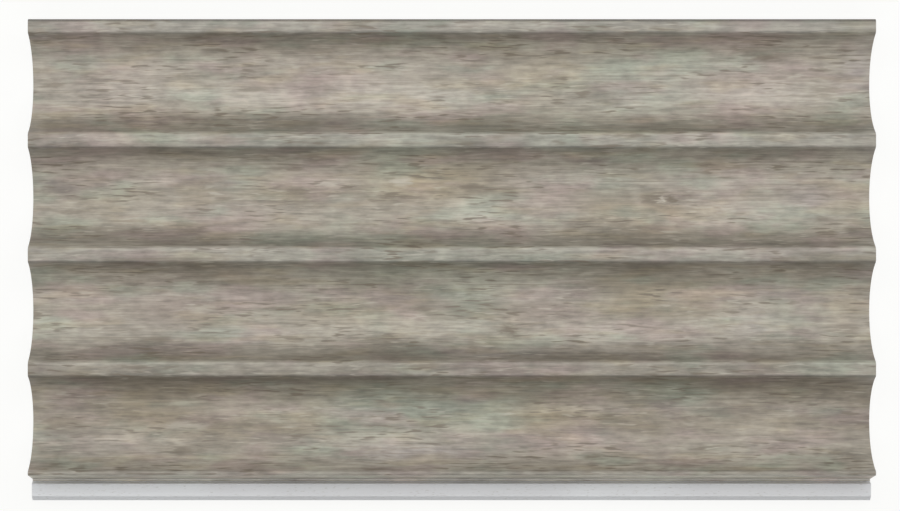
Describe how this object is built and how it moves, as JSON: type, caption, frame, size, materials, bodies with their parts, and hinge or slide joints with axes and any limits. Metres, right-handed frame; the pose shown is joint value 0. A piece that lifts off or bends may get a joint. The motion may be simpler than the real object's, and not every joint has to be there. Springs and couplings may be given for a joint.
{
  "type": "fluted wall panel",
  "caption": "Wood-plastic composite wall panel: concave flutes between narrow ribs, grey weathered-wood print, bare joint tongue along one long edge.",
  "frame": {"origin": "centre of the panel's box in plan, on the plane of its flat back, which is the floor", "axes": "+X along the extrusion, +Y across the flutes from the tongue edge to the groove edge, +Z out of the show face"},
  "size_m": [0.28, 0.16, 0.0135],
  "materials": {
    "grey_composite": "matt, as extruded",
    "weathered_print": "matt printed film, grey weathered wood"
  },
  "bodies": {
    "root": {"wall_panel": "grey_composite"}
  },
  "joints": []
}
